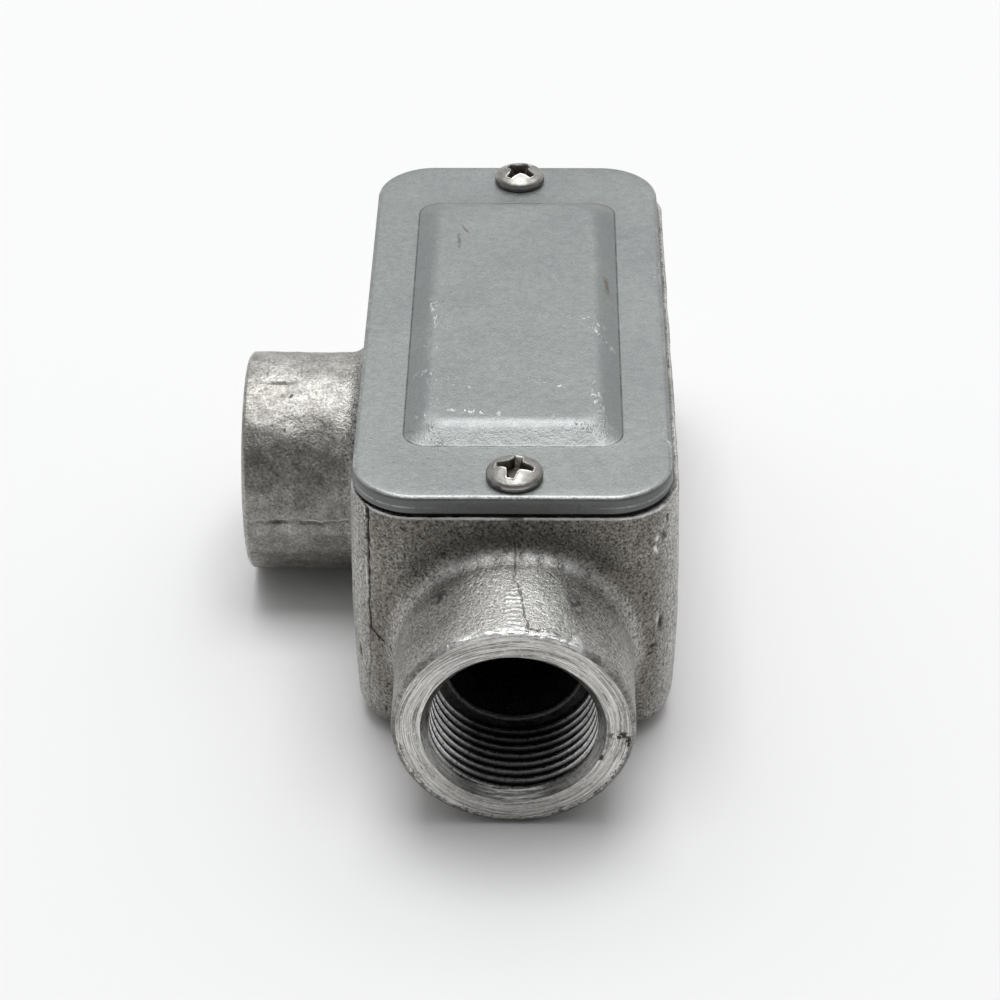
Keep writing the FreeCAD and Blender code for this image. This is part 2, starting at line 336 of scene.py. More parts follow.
def gate_mark(p):
    """The broken gate on top of the end hub: a tapered patch of ridges with a crack beside it."""
    x, _, z = p.T
    reach = hub_coordinates(p, False)[0]
    along = (reach - GATE_START) / (END_FACE - GATE_START)
    half = 1.3 + 0.9 * along + 0.15 * noise(p, 1.2, 8)
    inside = unit((half - np.abs(x - 0.15 - 0.1 * along)) / 0.35) * unit(along * 8) * (z > AXIS_HEIGHT)
    wave = np.sin((reach + 0.4 * noise(p, 1.5, 9)) * 2 * math.pi / 1.05)
    ridges = inside * (0.35 + 0.65 * unit(0.5 + 0.8 * wave) * unit(0.7 + noise(p, 1.2, 17)))
    length = p * (0, 1, 0)
    crack_x = 0.6 + 1.75 * unit(along) + 0.3 * noise(length, 1.5, 10) + 0.14 * noise(length, 0.5, 18)
    crack = bump(x - crack_x, 0.1 + 0.06 * noise(length, 0.8, 19)) * (reach > 57.6) * (reach < 69.2)
    foot_crack = bump(reach - 68.75 - 0.2 * noise(p, 0.8, 11), 0.14) * (x > 2.2) * (x < 5.2)
    crack = (z > AXIS_HEIGHT + 10) * np.maximum(crack, foot_crack)
    return 0.11 * ridges - 0.3 * crack, 1.2 * crack, 0.1 * ridges


def seam(p):
    """The thin parting line from the rim down the end wall to the hub's top."""
    x, y, z = p.T
    line = bump(x - 0.1 - 0.12 * noise(p, 2, 12), 0.12)
    line = line * (y < -49) * (y > -57.5) * (z > 34) * (0.3 + 0.7 * (z < 38.4))
    return -0.14 * line, 0.65 * line, 0


def side_parting(p):
    """The broken flash line along the side hub, at its parting plane."""
    reach, _, angle = hub_coordinates(p, True)
    length = p * (1, 0, 0)
    off = p[:, 2] - AXIS_HEIGHT - 0.5 - 0.35 * noise(length, 3.0, 13) - 0.2 * noise(length, 0.9, 39)
    here = (reach > 27) * (np.abs(angle) > 1.2)
    ridge = here * bump(off, 0.25) * unit(0.5 + 1.4 * noise(length, 4.2, 14))
    groove = here * bump(off + 0.6, 0.3) * unit(0.4 + noise(length, 2.6, 15))
    return 0.25 * ridge - 0.3 * groove, 0.9 * groove, 0.8 * ridge


def plain_pad(p):
    """The low rectangle on top of the side hub, with a crack along one edge."""
    x, y, z = p.T
    top = z > AXIS_HEIGHT + 12
    pad = top * unit((2.9 - np.abs(x + 37.9)) / 0.3) * unit((2.9 - np.abs(y)) / 0.3)
    crack = top * bump(y + 3.6 + 0.3 * noise(p, 2.5, 16), 0.28) * bump(x + 38.5, 2.6)
    return 0.16 * pad - 0.22 * crack, 0.7 * crack, 0


def torn_edge(p):
    """The end hub's outer edge: torn on top and worn dark down its sides."""
    reach, _, angle = hub_coordinates(p, False)
    turn, past = np.abs(angle), reach - END_FACE
    on_end = hub_shares(p)[1]
    torn = on_end * unit((past + 1.5 + 0.5 * noise(p, 1.6, 35)) / 0.7) * unit(1.6 - 2.6 * turn)
    tear = unit(0.5 + 1.3 * noise(p, 0.9, 27))
    worn = on_end * unit((past + 1.4 + 0.3 * noise(p, 1.2, 36)) / 0.4) * unit((turn - 0.45) / 0.25)
    worn = worn * np.clip(0.8 + 0.7 * noise(p, 1.3, 41), 0, 1.3)
    return torn * (0.2 * tear - 0.04), 0.85 * torn * (tear < 0.15) + 0.4 * worn, torn * unit(0.45 + tear)


def hub_top(p):
    """The end hub's top, painted bright as a highlight, the blotchy band where it meets the wall, painted
    bright on its flash as a highlight, and the wall's painted shade above it.
    """
    reach, radius, angle = hub_coordinates(p, False)
    turn, off_hub = np.abs(angle), radius - HUB_RADIUS
    on_side, on_end = hub_shares(p)
    band = bump(off_hub - 0.75, 0.65) * bump(reach - 52.8, 1.3)
    band = band * np.clip(0.7 + 1.4 * noise(p * (1, 0.3, 0.3), 0.55, 40), 0, 1.5)
    wall = (1 - on_side) * (1 - on_end)
    shaded = wall * (reach > 46) * bump(off_hub - 3.3, 2.8) * unit(1.3 - turn / 0.9)
    # Painted highlight on the end hub's top, fading round its sides, and on the flash of the band
    bare_and_highlight = 0.42 * unit(1.15 - turn / 0.75) * on_end + 1.1 * band * unit(1.25 - turn / 0.85)
    return 0.08 * band, 0.42 * shaded, bare_and_highlight + 0.5 * wall * bump(RIM_HEIGHT - p[:, 2], 0.22)


def spots(p):
    """The pits, nicks, scuffs and the scar that sit in one place each."""
    x, y, z = p.T
    total = sum(np.outer(amounts, near(p, place, size)) for place, size, amounts in SPOTS)
    scuffs = sum(near(p, place, size) for place, size in SCUFFS) * unit(0.75 + 1.8 * noise(p, 0.8, 29))
    scar = bump(x - 21.2 - 0.9 * noise(p * (0, 0, 1), 1.3, 37), 0.22) * bump(z - 36.6, 1.7)
    scar = scar * (y < -40) * (x > 15) * unit(0.5 + 1.5 * noise(p, 0.9, 38))
    return total + np.outer((-0.07, 1.8, 0), scuffs) + np.outer((0.16, 0, 2.5), scar)


MARKS = (
    cast_lumps, corner_flash, gate_mark, seam, side_parting, plain_pad, torn_edge, hub_top, spots,
)


def casting_relief(p):
    """Height of the cast skin over its true form, how dark it is and how bright, at each point, painted shade
    and painted highlights included.
    """
    totals = np.zeros((3, len(p)))
    for mark in MARKS:
        for total, part in zip(totals, mark(p)):
            total += part
    height, dark, bare_and_highlight = totals
    chip = near(p, *CHIP)
    return height + 0.15 * chip, unit(dark * (1 - unit(2 * chip))), unit(bare_and_highlight + 6 * chip)


def grime_and_shade(p):
    """How dark the cast skin is painted: painted shade with dirt over the end wall, deepest just above the
    hub, a painted shadow under the rim, darker low down and on the side hub, with clouds of dirt.
    """
    reach, radius, angle = hub_coordinates(p, False)
    off_hub = radius - HUB_RADIUS
    on_side, on_end = hub_shares(p)
    # Painted shade with dirt over the end wall, deepest just above the hub
    end_wall = unit((reach - 46) / 3) * unit((off_hub - 0.5) / 1.6) * (1 + 0.3 * bump(off_hub - 3.2, 2.2))
    # A painted shadow under the rim, on the end wall
    under_rim = 0.5 * unit((p[:, 2] - RIM_HEIGHT + 7) / 7) * (reach > 44)
    flanks = 0.42 * on_end * unit((np.abs(angle) - 0.6) / 0.6) * (1 + 0.35 * (p[:, 0] > 0))
    cloud = 0.16 * noise(p, 9, 33) + 0.14 * noise(p, 3, 34)
    return unit((0.78 + under_rim) * end_wall + flanks + 0.25 * on_side + cloud)


# ---------------- meshes


class Shell:
    """Points, faces, material numbers and painted shades of one mesh, gathered part by part."""

    def __init__(self):
        self.points, self.faces, self.materials, self.count = [], [], [], 0
        self.shades = {"dark": [], "bare_and_highlight": [], "grime_and_shade": []}

    def add(self, points, faces, material, dark=0.0, bare_and_highlight=0.0, grime_and_shade=0.0):
        points = np.asarray(points, float).reshape(-1, 3)
        used = np.unique(np.concatenate([np.asarray(face, int) for face in faces]))
        number = np.zeros(len(points), int)
        number[used] = np.arange(len(used)) + self.count
        self.faces += [tuple(int(number[i]) for i in face) for face in faces]
        self.materials += [material] * len(faces)
        self.points.append(points[used])
        for label, values in (("dark", dark), ("bare_and_highlight", bare_and_highlight), ("grime_and_shade", grime_and_shade)):
            self.shades[label].append(np.broadcast_to(values, len(points))[used])
        self.count += len(used)

    def object(self, name, materials, smooth_angle=35):
        mesh = bpy.data.meshes.new(name)
        mesh.from_pydata(np.vstack(self.points) * MM, [], self.faces)
        for material in materials:
            mesh.materials.append(material)
        mesh.polygons.foreach_set("material_index", self.materials)
        for label, values in self.shades.items():
            layer = mesh.attributes.new(label, "FLOAT", "POINT")
            layer.data.foreach_set("value", np.concatenate(values))
        mesh.validate()
        obj = bpy.data.objects.new(name, mesh)
        bpy.context.scene.collection.objects.link(obj)
        mesh.shade_smooth()
        mesh.set_sharp_from_angle(angle=math.radians(smooth_angle))
        return obj


def surface_net(distance, low, high, step):
    """Quads where a distance crosses zero, with one point in each cell of a grid that it crosses."""
    axes = [np.arange(a, b, step) for a, b in zip(low, high)]
    grid = np.stack(np.meshgrid(*axes, indexing="ij"), axis=-1)
    inside = distance(grid.reshape(-1, 3)).reshape(grid.shape[:3]) < 0
    cells = tuple(n - 1 for n in inside.shape)
    filled = np.zeros(cells, int)
    for offset in np.ndindex(2, 2, 2):
        filled += inside[tuple(slice(o, o + n) for o, n in zip(offset, cells))]
    crossed = (filled > 0) & (filled < 8)
    index = np.full(cells, -1)
    index[crossed] = np.arange(crossed.sum())
    points = (np.argwhere(crossed) + 0.5) * step + np.array(low)
    for _ in range(4):
        points = points - distance(points)[:, None] * gradient(distance, points)
    faces = []
    for axis in range(3):
        u, v = [k for k in range(3) if k != axis]
        starts = np.argwhere(np.diff(inside.astype(int), axis=axis) != 0)
        keep = (starts[:, u] > 0) & (starts[:, v] > 0)
        keep &= (starts[:, u] < cells[u]) & (starts[:, v] < cells[v])
        starts = starts[keep]
        step_u, step_v = np.eye(3, dtype=int)[u], np.eye(3, dtype=int)[v]
        around = [starts, starts - step_u, starts - step_u - step_v, starts - step_v]
        quads = np.stack([index[tuple(cell.T)] for cell in around], axis=1)
        flip = inside[tuple(starts.T)] ^ (axis == 1)
        quads[flip] = quads[flip][:, ::-1]
        faces.append(quads)
    return points, np.vstack(faces).tolist()


def reworked(points, faces, rework):
    """The points and faces of a mesh after an edit."""
    mesh = bpy.data.meshes.new("work")
    mesh.from_pydata(points, [], faces)
    work = bmesh.new()
    work.from_mesh(mesh)
    rework(work)
    work.to_mesh(mesh)
    work.free()
    left = np.array([v.co for v in mesh.vertices])
    polygons = [tuple(p.vertices) for p in mesh.polygons]
    bpy.data.meshes.remove(mesh)
    return left, polygons


def refine(points, faces, boxes, times):
    """Divides the faces that lie in any of the boxes, so that they can carry finer marks."""

    def divide(work):
        for _ in range(times):
            centres = np.array([f.calc_center_median() for f in work.faces])
            inside = np.zeros(len(centres), bool)
            for low, high in boxes:
                inside |= ((centres > low) & (centres < high)).all(axis=1)
            edges = {e for f, chosen in zip(work.faces, inside) if chosen for e in f.edges}
            bmesh.ops.subdivide_edges(work, edges=list(edges), cuts=1, use_grid_fill=True)

    return reworked(points, faces, divide)


def cut_away(points, faces, planes):
    """What is left of a mesh after everything past each (point, outward normal) plane is cut off."""

    def cut(work):
        for place, outward in planes:
            geom = work.verts[:] + work.edges[:] + work.faces[:]
            bmesh.ops.bisect_plane(
                work, geom=geom, plane_co=place, plane_no=outward, clear_outer=True, dist=1e-4
            )

    return reworked(points, faces, cut)


def rings_to_faces(rings, around, closed_ends=(False, False)):
    """Quads between rings of equal size, stored one after the other."""
    faces = []
    for row in range(rings - 1):
        for i in range(around):
            j = (i + 1) % around
            low, high = row * around, (row + 1) * around
            faces.append((low + i, low + j, high + j, high + i))
    if closed_ends[0]:
        faces.append(tuple(reversed(range(around))))
    if closed_ends[1]:
        faces.append(tuple(range((rings - 1) * around, rings * around)))
    return faces


def rounded_loop(half, corner, z, x, per_corner, per_side):
    """Points round a rounded rectangle, anticlockwise seen from above."""
    loop = []
    centres = np.array(((1, 1), (-1, 1), (-1, -1), (1, -1))) * (np.array(half) - corner)
    for turn in range(4):
        angles = math.pi / 2 * (turn + np.linspace(0, 1, per_corner))
        arc = centres[turn] + corner * np.stack([np.cos(angles), np.sin(angles)], axis=1)
        steps = np.linspace(0, 1, per_side[turn % 2] + 1, endpoint=False)[1:]
        side = centres[(turn + 1) % 4] - centres[turn]
        loop += [*arc, *(arc[-1] + np.outer(steps, side))]
    flat = np.array(loop)
    return np.column_stack([flat[:, 0] + x, flat[:, 1], np.full(len(flat), z)])


def full_turn(around):
    return np.linspace(0, 2 * math.pi, around, endpoint=False)


def level_ring(radius, z, angle):
    """A ring about the upright axis through the origin."""
    return np.column_stack([radius * np.cos(angle), radius * np.sin(angle), np.full(len(angle), z)])


def hub_ring(depth, radius, angle, side):
    """A ring about a hub's axis, at a depth in from its face."""
    reach = (SIDE_FACE if side else END_FACE) - depth
    reach, radius, angle = np.broadcast_arrays(reach, radius, angle)
    across, up = radius * np.sin(angle), radius * np.cos(angle) + AXIS_HEIGHT
    if side:
        return np.stack([-reach, across + SIDE_HUB_Y, up], axis=-1)
    return np.stack([across, -reach, up], axis=-1)


def facing_out(faces, side):
    """Faces between hub rings, turned over on the end hub, whose rings run the other way round."""
    return faces if side else [face[::-1] for face in faces]


# ---------------- body


def add_skin(shell):
    """The rough outside of the casting."""
    points, faces = surface_net(skin_distance, BODY_LOW - NET_MARGIN[0], BODY_HIGH + NET_MARGIN[1], NET_STEP)
    planes = [
        ((0, 0, RIM_HEIGHT - RIM_BREAK), (0, 0, 1)),
        ((0, HUB_BREAK - END_FACE, 0), (0, -1, 0)),
        ((HUB_BREAK - SIDE_FACE, 0, 0), (-1, 0, 0)),
    ]
    points, faces = cut_away(points, faces, planes)
    points, faces = refine(points, faces, SEEN_BOXES + FINE_BOXES, 1)
    points, faces = refine(points, faces, FINE_BOXES, 2)
    for _ in range(2):
        points = points - skin_distance(points)[:, None] * gradient(skin_distance, points)
    height, dark, bare_and_highlight = casting_relief(points)
    normal = gradient(skin_distance, points)
    fade = unit(points[:, 2] / 0.6)
    points = points + normal * (height * fade)[:, None]
    shell.add(points, faces, 0, dark, bare_and_highlight, grime_and_shade(points))


def add_rim(shell):
    """The worn outer edge of the machined rim."""
    steps = ((-0.02, RIM_BREAK + 0.1), (0, RIM_BREAK), (RIM_BREAK, 0), (RIM_BREAK + 0.6, -0.01))
    rings = [
        rounded_loop(RIM_HALF - inset, CORNER - inset, RIM_HEIGHT - drop, 0.0, 20, (150, 120))
        for inset, drop in steps
    ]
    outline = rings[1].copy()
    ripple = casting_relief(outline)[0]
    away = outline[:, :2] / np.linalg.norm(outline[:, :2], axis=1)[:, None]
    for ring, share in zip(rings[:3], (1, 1, 0.6)):
        ring[:, :2] += away * (ripple * share)[:, None]
    wave = 0.05 * noise(outline, 2.0, 30) + 0.03 * noise(outline, 0.9, 31)
    notch = bump(outline[:, 0] - 0.2, 0.9) * (outline[:, 1] < 0)
    rings[1][:, 2] -= 0.7 * wave + 0.3 * notch
    rings[2][:, 2] -= np.maximum(wave, -0.02) + 0.4 * notch
    rings[2][:, 1] += 0.3 * notch
    worn = unit(0.7 + 0.6 * noise(rings[2], 1.1, 32)) * np.where(rings[2][:, 1] < -47, 1.3, 0.35)
    bare_and_highlight = unit(np.outer((0.3, 1.2, 1.1, 0), worn)).ravel()
    # Painted shadow on the rim's top, in under the gasket
    dark = np.repeat((0, 0, 0, 0.8), len(worn))
    shell.add(np.vstack(rings), rings_to_faces(4, len(worn)), 0, dark, bare_and_highlight)


def add_inside(shell):
    """The wiring space, its bosses and the throats, which keep the solid's own faces."""
    solid = frame["nodes"]["body"]
    points = np.array([solid.matrix_world @ v.co for v in solid.data.vertices]) / MM
    polygons = [tuple(p.vertices) for p in solid.data.polygons]
    centres = np.array([points[list(p)].mean(axis=0) for p in polygons])
    keep = (skin_distance(centres) < -0.5) | (centres[:, 2] > RIM_HEIGHT - 0.01)
    for side, face in ((False, END_FACE), (True, SIDE_FACE)):
        reach, _, _ = hub_coordinates(centres, side)
        keep &= reach < face - SHOULDER - THROAT_EDGE
    # The inside is painted darker: painted shade in the hollow
    shell.add(points, [p for p, kept in zip(polygons, keep) if kept], 0, dark=0.55)


def add_hub_edge(shell, side):
    """The strip between the rough skin and the faced end, as uneven as the skin that it cuts."""
    angle = full_turn(HUB_EDGE_COLUMNS)
    relief, dark, bare_and_highlight = casting_relief(hub_ring(HUB_BREAK, HUB_RADIUS, angle, side))
    from_top = np.pi - np.abs(angle - math.pi)
    torn = unit((0.62 - from_top) / 0.12) * (not side)
    dirty = unit((from_top - 0.5) / 0.15) * (not side)
    # Depth in from the face, radius past the hub's, share of the skin's relief, and how far a tear stands out
    steps = (
        (0.9, -0.03, 1.0, 0),
        (HUB_BREAK, 0.0, 1.0, 0),
        (0.42, -0.12, 0.9, 0),
        (0.2, -0.3, 0.8, 0.2),
        (0.0, -HUB_BREAK, 0.5, 0.35),
    )
    rings, darks, bare_and_highlight_rings = [], [], []
    for depth, past, share, stand in steps:
        ring = hub_ring(depth, HUB_RADIUS + past, angle, side)
        tear = noise(ring, 0.55, 42) + 0.6 * noise(ring, 1.4, 43)
        radius = HUB_RADIUS + past + relief * share + torn * (stand + 0.12 * tear)
        rings.append(hub_ring(depth, radius, angle, side))
        darks.append(unit(dark + torn * (tear < -0.12) + 0.4 * dirty * unit(0.75 + 0.4 * tear)))
        bare_and_highlight_rings.append(unit(bare_and_highlight + 0.1 + torn * unit(0.55 + 1.2 * tear)))
    faces = facing_out(rings_to_faces(len(rings), len(angle)), side)
    shell.add(np.vstack(rings), faces, 0, np.concatenate(darks), np.concatenate(bare_and_highlight_rings))
    inner = hub_ring(0.0, THREAD_ROOT + MOUTH_FLARE, angle, side)
    shell.add(np.vstack([rings[-1], inner]), facing_out(rings_to_faces(2, len(angle)), side), 1)


def thread_faces(rings, depths):
    """Faces between the thread's rings, without those that would fold up at its two ends."""
    columns = rings.shape[1]
    ended = (depths[:-1] >= SHOULDER) & (depths[1:] >= SHOULDER)
    same = np.linalg.norm(np.diff(rings, axis=0), axis=-1) < 1e-6
    faces = []
    for row, i in np.ndindex(len(rings) - 1, columns - 1):
        if ended[row, i] and ended[row, i + 1]:
            continue
        a, b = row * columns + i, (row + 1) * columns + i
        corners = [a, a + 1]
        if not same[row, i + 1]:
            corners.append(b + 1)
        if not same[row, i]:
            corners.append(b)
        if len(corners) > 2:
            faces.append(tuple(corners))
    return faces


def add_thread(shell, side):
    """A right-hand thread, cut by the flared mouth and running out at the bushing's shoulder."""
    angle = np.linspace(0, 2 * math.pi, (SIDE_THREAD_COLUMNS if side else THREAD_COLUMNS) + 1)
    hand = -1 if side else 1
    low_down = unit((1.05 - np.abs(angle - math.pi)) / 0.55)
    turns = range(-1, int(SHOULDER / THREAD_PITCH) + 2)
    rings, depths, dark, bare_and_highlight = [], [], [], []
    for turn, (phase, ridge) in product(turns, THREAD_PROFILE):
        depth = (turn + phase + hand * angle / (2 * math.pi)) * THREAD_PITCH
        depth = np.clip(depth, 0, SHOULDER)
        cut = unit((depth - 1.0) / 0.9)
        ridge = 1 - (1 - ridge) * cut
        crest = CREST_AT_MOUTH + (CREST_AT_SHOULDER - CREST_AT_MOUTH) * depth / SHOULDER
        radius = THREAD_ROOT + (crest - THREAD_ROOT) * ridge
        mouth = THREAD_ROOT + MOUTH_FLARE - 0.9 * depth
        rings.append(hub_ring(depth, np.maximum(radius, mouth), angle, side))
        depths.append(depth)
        # Painted shade: darker deeper into the bore, most along its bottom
        bore_shade = 0.95 * low_down * unit((depth - 0.9) / 2.5) + 0.45 * unit((depth - 5.0) / 9.0)
        # Roots painted dark and crests painted bright: painted shade and painted highlight, and the first
        # millimetre darker
        dark.append(unit(1.7 * (1 - ridge) - 0.75 + bore_shade + 0.3 * (depth < 1.1)))
        bare_and_highlight.append(unit(2 * ridge * cut - 0.6 - bore_shade))
    faces = facing_out(thread_faces(np.array(rings), np.array(depths)), side)
    shell.add(np.vstack(rings), faces, 2, np.concatenate(dark), np.concatenate(bare_and_highlight))


def add_throat_edge(shell, side):
    """The bushing's shoulder and its rounded edge, as far as the plain throat."""
    throat = THREAD_ROOT - BUSHING_HEIGHT
    angle = full_turn(180)
    rings = [hub_ring(SHOULDER, THREAD_ROOT + 0.1, angle, side)]
    for t in np.linspace(0, math.pi / 2, 7):
        depth = SHOULDER + THROAT_EDGE * (1 - math.cos(t))
        rings.append(hub_ring(depth, throat + THROAT_EDGE * (1 - math.sin(t)), angle, side))
    faces = facing_out(rings_to_faces(len(rings), len(angle)), side)
    # Painted shade deep in the bore: the whole shoulder and edge painted dark
    shell.add(np.vstack(rings), faces, 2, dark=0.88)


def build_body(materials):
    shell = Shell()
    add_skin(shell)
    add_rim(shell)
    add_inside(shell)
    for side in (False, True):
        add_hub_edge(shell, side)
        add_thread(shell, side)
        add_throat_edge(shell, side)
    body = shell.object("casting", materials)
    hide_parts("body")
    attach(body, "root")


# ---------------- cover


def soft_ramp(t, foot=0.07, shoulder=0.34):
    """0 below 0 and 1 above 1, straight between, with both corners eased."""

    def eased(x, width):
        return np.where(x < -width, 0, np.where(x > width, x, (x + width) ** 2 / (4 * width)))

    return eased(t, foot) - eased(t - 1, shoulder)


def cover_rings():
    """Loops from the hollow's roof out under the cover, up its edge and in to the middle of the panel."""

    def loop(half, corner, z):
        return rounded_loop(half, corner, z, COVER_X, 18, (40, 90))

    foot = COVER_HALF - PANEL_MARGIN
    hollow = foot - PANEL_SKIN / 2
    rings = [
        loop(hollow - PANEL_SLOPE, PANEL_CORNER, COVER_TOP + PANEL_RISE - PANEL_SKIN),
        loop(hollow, PANEL_CORNER, COVER_SEAT),
        loop(COVER_HALF - 0.15, COVER_CORNER, COVER_SEAT),
        loop(COVER_HALF, COVER_CORNER, COVER_SEAT + 0.15),
    ]
    for share in (0.35, 0.7):
        rings.append(loop(COVER_HALF, COVER_CORNER, COVER_SEAT + share * (COVER_THICKNESS - COVER_EDGE)))
    for t in np.linspace(0, math.pi / 2, 7):
        inset = COVER_EDGE * (1 - math.cos(t))
        z = COVER_TOP - COVER_EDGE * (1 - math.sin(t))
        rings.append(loop(COVER_HALF - inset, COVER_CORNER - inset, z))
    for share in (0.15, 0.4, 0.7):
        half = COVER_HALF - COVER_EDGE + (foot - COVER_HALF + COVER_EDGE + 0.6) * share
        corner = COVER_CORNER - COVER_EDGE + (PANEL_CORNER - COVER_CORNER + COVER_EDGE) * share
        rings.append(loop(half, corner, COVER_TOP))
    for t in (-0.07, -0.03, 0.0, 0.04, 0.09, 0.25, 0.45, *np.linspace(0.62, 1.34, 11)):
        z = COVER_TOP + PANEL_RISE * float(soft_ramp(t))
        rings.append(loop(foot - PANEL_SLOPE * t, PANEL_CORNER, z))
    return rings


def build_cover(material):
    rings = cover_rings()
    points = np.vstack(rings)
    points[:, 2] += np.where(points[:, 2] > COVER_TOP - 0.05, 0.03 * noise(points, 11.0, 40), 0)
    shell = Shell()
    shell.add(points, rings_to_faces(len(rings), len(rings[0]), (True, True)), 0)
    cover = shell.object("cover_plate", [material], 40)
    for y in SCREW_TURNS:
        drill(cover, y)
    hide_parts("cover")
    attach(cover, "root")


def drill(cover, y):
    """Cuts one screw hole through the cover."""
    shell = Shell()
    angle = full_turn(48)
    rings = [level_ring(SCREW_HOLE, z, angle) + (0, y, 0) for z in (COVER_SEAT - 1, COVER_TOP + 1)]
    shell.add(np.vstack(rings), rings_to_faces(2, len(angle), (True, True)), 0)
    cutter = shell.object("cutter", [])
    cut = cover.modifiers.new("hole", "BOOLEAN")
    cut.operation = "DIFFERENCE"
    cut.object = cutter
    cut.solver = "EXACT"
    bpy.context.view_layer.objects.active = cover
    with bpy.context.temp_override(object=cover, active_object=cover):
        bpy.ops.object.modifier_apply(modifier=cut.name)
    bpy.data.objects.remove(cutter)
    work = bmesh.new()
    work.from_mesh(cover.data)
    bmesh.ops.remove_doubles(work, verts=work.verts, dist=0.002 * MM)
    bmesh.ops.dissolve_degenerate(work, dist=0.002 * MM, edges=work.edges)
    work.to_mesh(cover.data)
    work.free()


# ---------------- screws


def arm_reach(u, w):
    """How far inside an arm of the cross recess a point is, across the arm and along it."""
    half = 1.12 - 0.2 * np.abs(u) + 0.4 * bump(u, 0.9)
    return half - np.abs(w), 2.9 - np.abs(u)


def recess_depth(x, y):
    """Depth of the worn cross recess under the crown."""
    deepest = np.zeros_like(x)
    for u, w in ((x, y), (y, x)):
        across, along = arm_reach(u, w)
        deepest = np.maximum(deepest, np.minimum(along * RECESS_DEPTH / 1.5, across * RECESS_DEPTH / 0.5))
    return np.clip(deepest, 0, RECESS_DEPTH)


def burr(x, y):
    """The edge that the driver has pushed up round the recess."""
    outside = [np.hypot(*np.maximum(-np.array(arm_reach(u, w)), 0)) for u, w in ((x, y), (y, x))]
    return bump(np.minimum(*outside) - 0.1, 0.12)


def screw_part(shell, y, turn):
    """One pan-head screw, from the tip of its shank to its crown."""
    angle = full_turn(200)
    crown = HEAD_HEIGHT - HEAD_SIDE
    crown_radius = (HEAD_RADIUS**2 + crown**2) / (2 * crown)
    tip = SCREWS_LOW[2] - COVER_TOP
    outline = [(0.4, tip), (SHANK_RADIUS - 0.6, tip), (SHANK_RADIUS, tip + 0.6), (SHANK_RADIUS, 0.0)]
    outline += [(HEAD_RADIUS - 0.2, 0.0), (HEAD_RADIUS - 0.03, 0.12), (HEAD_RADIUS, 0.3)]
    outline += [(HEAD_RADIUS, HEAD_SIDE - drop) for drop in (0.55, 0.48, 0.42, 0.36, 0.28)]
    outline += [(HEAD_RADIUS - 0.06, HEAD_SIDE - 0.08), (HEAD_RADIUS - 0.22, HEAD_SIDE + 0.12)]
    for radius in np.linspace(HEAD_RADIUS - 0.42, 0.1, 62):
        drop = crown_radius - math.sqrt(crown_radius**2 - radius**2)
        outline.append((radius, HEAD_HEIGHT - drop))
    points = np.vstack([level_ring(radius, z, angle) for radius, z in outline])
    on_crown = points[:, 2] > HEAD_SIDE + 0.15
    spin = math.radians(turn)
    u = points[:, 0] * math.cos(spin) + points[:, 1] * math.sin(spin)
    v = -points[:, 0] * math.sin(spin) + points[:, 1] * math.cos(spin)
    rough = points + (0, y, 0)
    depth = recess_depth(u + 0.06 * noise(rough, 0.7, 50), v + 0.06 * noise(rough, 0.7, 51))
    lift = burr(u, v) * (0.06 + 0.05 * noise(rough, 0.9, 52))
    dents = 0.02 * noise(rough, 0.8, 53) + 0.02 * noise(rough, 2.0, 54)
    points[:, 2] += on_crown * (dents + lift - depth)
    # Painted shade in the cross recess, darker the deeper it goes
    dark = on_crown * np.clip(depth * 2.5, 0, 0.72 + 0.2 * noise(rough * (1, 1, 0), 0.6, 57))
    side = (points[:, 2] < HEAD_SIDE - 0.1) * (points[:, 2] >= -0.1)
    # Painted shade on the head's side and underside, with dark patches on the crown
    dark = unit(dark + 0.5 * side + 0.3 * on_crown * unit(noise(rough, 1.2, 55)))
    bare_and_highlight = on_crown * burr(u, v) * (depth < 0.2) * unit(0.5 + 1.2 * noise(rough, 0.8, 56))
    # A painted highlight: a thin bright ring low on the near side of the head
    ring = bump(points[:, 2] - HEAD_SIDE + 0.42, 0.1) * (points[:, 1] < -0.6 * HEAD_RADIUS)
    bare_and_highlight = unit(bare_and_highlight + ring * (noise(rough, 1.3, 58) > -0.2))
    points = points + (0, y, COVER_TOP)
    shell.add(points, rings_to_faces(len(outline), len(angle), (True, True)), 0, dark, bare_and_highlight)


def build_screws(material):
    shell = Shell()
    for y, turn in SCREW_TURNS.items():
        screw_part(shell, y, turn)
    screws = shell.object("screws", [material], 50)
    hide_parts("cover_screws")
    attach(screws, "root")


# ---------------- materials


